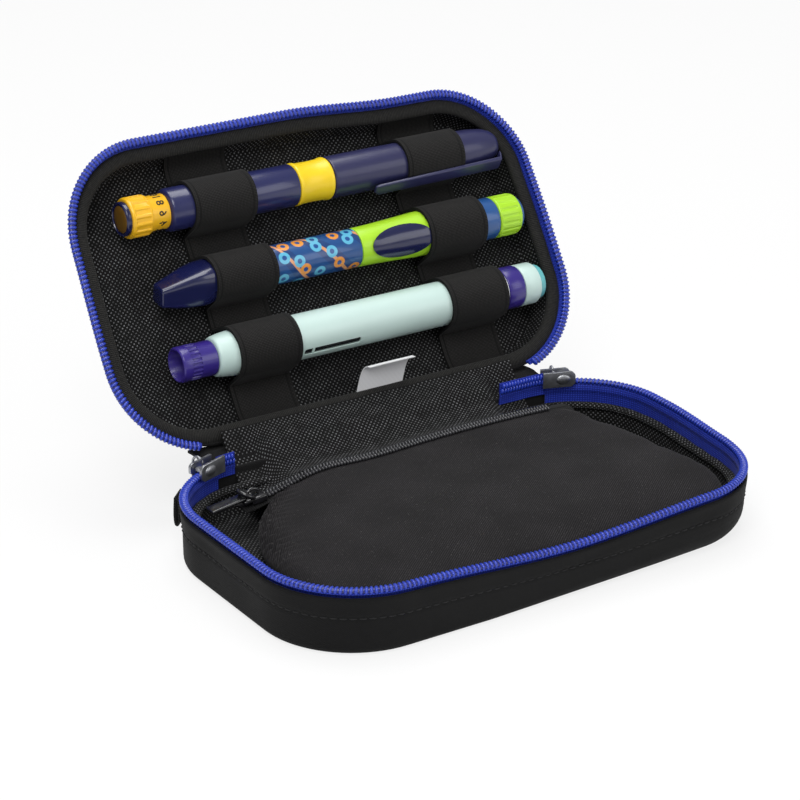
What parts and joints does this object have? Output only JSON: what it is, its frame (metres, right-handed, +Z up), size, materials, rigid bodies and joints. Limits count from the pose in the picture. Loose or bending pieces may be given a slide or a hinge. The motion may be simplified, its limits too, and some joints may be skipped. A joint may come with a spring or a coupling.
{
  "type": "insulin cooling case",
  "caption": "Soft zip-round insulated case shown open: tray with a zipped gel-pack pocket, lid whose elastic bands hold insulin pens, and a blue coil zip round both rims.",
  "frame": {"origin": "centre of the flat underside of the base", "axes": "+X along the hinge to the right as seen from the front, +Y to the hinge at the rear, +Z up"},
  "size_m": [0.2, 0.1939, 0.1244],
  "materials": {
    "shell_fabric": "matt twill",
    "binding_fabric": "ribbed",
    "lining_fabric": "matt, dotted",
    "foam": "open foam",
    "blue_tape": "woven",
    "blue_coil": "satin",
    "black_coil": "satin",
    "gunmetal": "satin",
    "black_metal": "gloss",
    "gel": "soft",
    "elastic": "ribbed",
    "label": "satin",
    "navy": "gloss",
    "deep_navy": "gloss",
    "yellow": "satin",
    "bronze": "satin",
    "lime": "satin",
    "pattern_blue": "gloss",
    "mint": "satin",
    "purple": "gloss",
    "teal": "satin",
    "white": "satin",
    "smoke": "gloss",
    "clear_plastic": "clear",
    "vial_glass": "clear"
  },
  "bodies": {
    "base": {"base_shell": "shell_fabric", "base_foam": "foam", "base_lining": "lining_fabric", "base_binding": "binding_fabric", "base_zip_tape": "blue_tape", "base_zip_coil": "blue_coil", "gel_pack": "gel", "pocket_panel": "shell_fabric", "pocket_front_tape": "binding_fabric", "pocket_rear_tape": "binding_fabric", "pocket_zip_coil": "black_coil", "hinge_lining_lower": "lining_fabric", "hinge_spine_lower": "shell_fabric", "zip_end_left": "blue_tape", "zip_end_right": "blue_tape", "hang_loop": "binding_fabric"},
    "lid": {"lid_shell": "shell_fabric", "lid_foam": "foam", "lid_lining": "lining_fabric", "lid_binding": "binding_fabric", "lid_zip_tape": "blue_tape", "lid_zip_coil": "blue_coil", "left_strap": "elastic", "right_strap": "elastic", "care_label": "label", "hinge_lining_upper": "lining_fabric", "hinge_spine_upper": "shell_fabric"},
    "left_slider": {"left_slider": "gunmetal"},
    "left_pull": {"left_pull": "black_metal"},
    "right_slider": {"right_slider": "gunmetal"},
    "right_pull": {"right_pull": "black_metal"},
    "pocket_slider": {"pocket_slider": "black_metal"},
    "pocket_pull": {"pocket_pull": "black_metal"},
    "upper_pen": {"upper_pen_barrel": "navy", "upper_pen_band": "yellow", "upper_pen_cap": "navy", "upper_pen_holder": "clear_plastic", "upper_pen_cartridge": "vial_glass"},
    "upper_dial": {"upper_pen_dial": "yellow"},
    "upper_button": {"upper_pen_button": "deep_navy", "upper_pen_button_inlay": "bronze"},
    "middle_pen": {"middle_pen_body": "pattern_blue", "middle_pen_sleeve": "lime", "middle_pen_badge": "deep_navy", "middle_pen_collar": "pattern_blue", "middle_pen_holder": "clear_plastic", "middle_pen_cartridge": "vial_glass"},
    "middle_nose": {"middle_pen_nose_cap": "deep_navy"},
    "middle_dial": {"middle_pen_dial": "lime"},
    "middle_button": {"middle_pen_button": "deep_navy"},
    "lower_pen": {"lower_pen_barrel": "mint", "lower_pen_window": "smoke", "lower_pen_ring": "white", "lower_pen_cartridge": "vial_glass"},
    "lower_cap": {"lower_pen_base_cap": "purple"},
    "lower_dial": {"lower_pen_dial": "purple", "lower_pen_dial_end": "mint"},
    "lower_button": {"lower_pen_button": "teal"}
  },
  "joints": [
    {"name": "lid_hinge", "type": "hinge", "parent": "base", "child": "lid", "pos_m": [0, 0.0607, 0.0255], "axis": [-1, 0, 0], "range_deg": [-122.5, 50]},
    {"name": "left_slider_run", "type": "hinge", "parent": "base", "child": "left_slider", "pos_m": [-0.064, 0.0225, 0.0255], "axis": [0, 0, 1], "range_deg": [0, 55]},
    {"name": "left_pull_swing", "type": "hinge", "parent": "left_slider", "child": "left_pull", "pos_m": [-0.07759, 0.05985, 0.0255], "axis": [-0.9397, -0.342, 0], "range_deg": [-70, 0]},
    {"name": "right_slider_run", "type": "hinge", "parent": "base", "child": "right_slider", "pos_m": [0.064, 0.0225, 0.0255], "axis": [0, 0, -1], "range_deg": [0, 55]},
    {"name": "right_pull_swing", "type": "hinge", "parent": "right_slider", "child": "right_pull", "pos_m": [0.07759, 0.05985, 0.0255], "axis": [-0.9397, 0.342, 0], "range_deg": [-70, 0]},
    {"name": "pocket_slider_run", "type": "hinge", "parent": "base", "child": "pocket_slider", "pos_m": [0.03, 0.039, -0.6502], "axis": [0, 1, 0], "range_deg": [0, 10.2]},
    {"name": "pocket_pull_lift", "type": "hinge", "parent": "pocket_slider", "child": "pocket_pull", "pos_m": [-0.06692, 0.039, 0.01877], "axis": [0, 1, 0], "range_deg": [0, 150]},
    {"name": "upper_pen_slide", "type": "slide", "parent": "lid", "child": "upper_pen", "axis": [1, 0, 0], "range_m": [-0.008, 0]},
    {"name": "middle_pen_slide", "type": "slide", "parent": "lid", "child": "middle_pen", "axis": [1, 0, 0], "range_m": [-0.008, 0]},
    {"name": "lower_pen_slide", "type": "slide", "parent": "lid", "child": "lower_pen", "axis": [1, 0, 0], "range_m": [-0.008, 0]},
    {"name": "upper_dial_turn", "type": "hinge", "parent": "upper_pen", "child": "upper_dial", "pos_m": [0, 0.11503, 0.09961], "axis": [1, 0, 0], "range_deg": [0, 345]},
    {"name": "upper_button_press", "type": "slide", "parent": "upper_dial", "child": "upper_button", "axis": [1, 0, 0], "range_m": [0, 0.002], "stiffness_N_per_m": 150},
    {"name": "middle_nose_pull", "type": "slide", "parent": "middle_pen", "child": "middle_nose", "axis": [-1, 0, 0], "range_m": [0, 0.012]},
    {"name": "middle_dial_turn", "type": "hinge", "parent": "middle_pen", "child": "middle_dial", "pos_m": [0, 0.09996, 0.07596], "axis": [1, 0, 0], "range_deg": [0, 345]},
    {"name": "middle_button_press", "type": "slide", "parent": "middle_dial", "child": "middle_button", "axis": [-1, 0, 0], "range_m": [0, 0.002], "stiffness_N_per_m": 150},
    {"name": "lower_cap_pull", "type": "slide", "parent": "lower_pen", "child": "lower_cap", "axis": [-1, 0, 0], "range_m": [0, 0.012]},
    {"name": "lower_dial_turn", "type": "hinge", "parent": "lower_pen", "child": "lower_dial", "pos_m": [0, 0.08489, 0.0523], "axis": [1, 0, 0], "range_deg": [0, 345]},
    {"name": "lower_button_press", "type": "slide", "parent": "lower_dial", "child": "lower_button", "axis": [-1, 0, 0], "range_m": [0, 0.002], "stiffness_N_per_m": 150}
  ]
}
